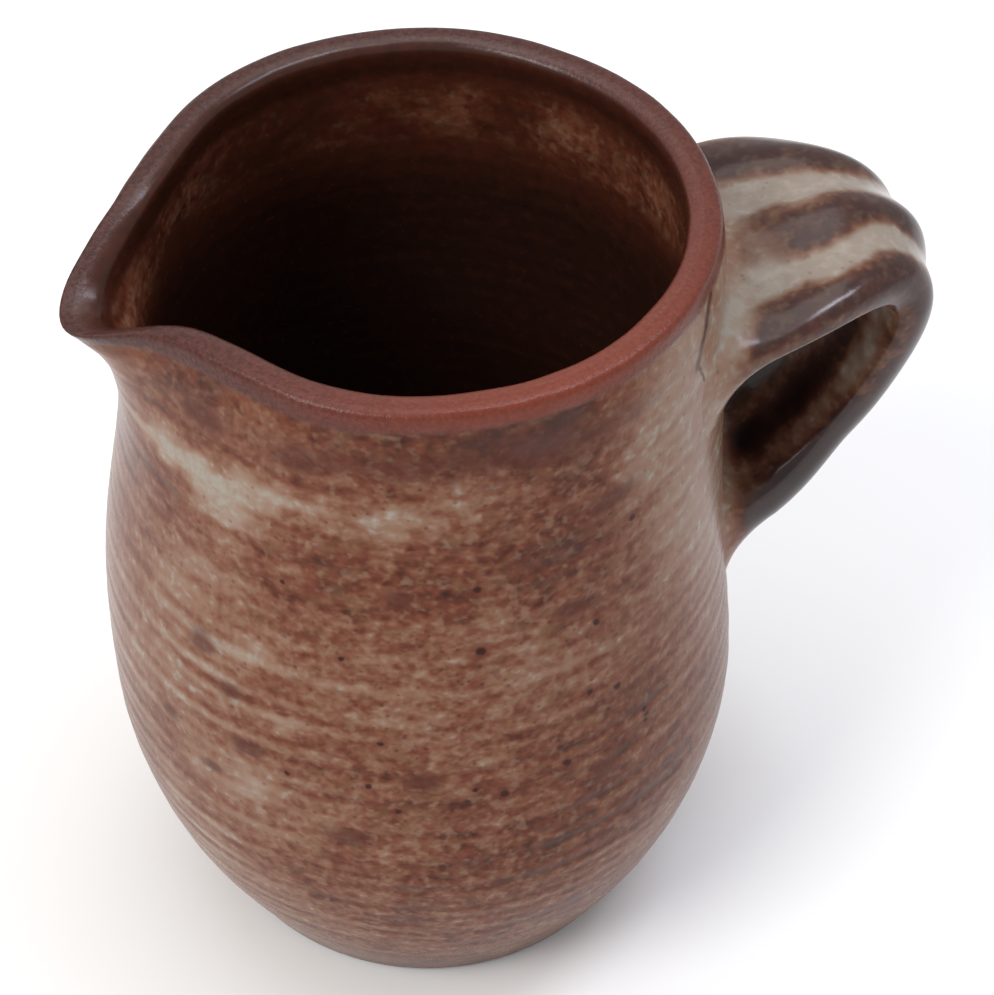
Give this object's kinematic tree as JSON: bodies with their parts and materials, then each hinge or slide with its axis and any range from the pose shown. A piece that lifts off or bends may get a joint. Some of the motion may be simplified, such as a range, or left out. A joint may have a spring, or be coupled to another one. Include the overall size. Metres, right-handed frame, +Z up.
{
  "type": "milk jug",
  "caption": "Hand-thrown stoneware milk jug with a rounded belly, pulled pouring lip and ridged strap handle, in speckled brown and grey glaze.",
  "frame": {"origin": "middle of the foot ring, on the plane that the jug stands on", "axes": "+Z up along the jug's throwing axis, -X towards the pouring lip, +X towards the handle"},
  "size_m": [0.1081, 0.0816, 0.11],
  "materials": {
    "speckled_glaze": "gloss iron-speckled glaze over brown stoneware, bare at the rim",
    "handle_glaze": "gloss grey-beige glaze that breaks to dark brown on the ridges"
  },
  "bodies": {
    "root": {"thrown_body": "speckled_glaze", "pulled_handle": "handle_glaze", "upper_luting": "handle_glaze", "lower_luting": "handle_glaze"}
  },
  "joints": []
}
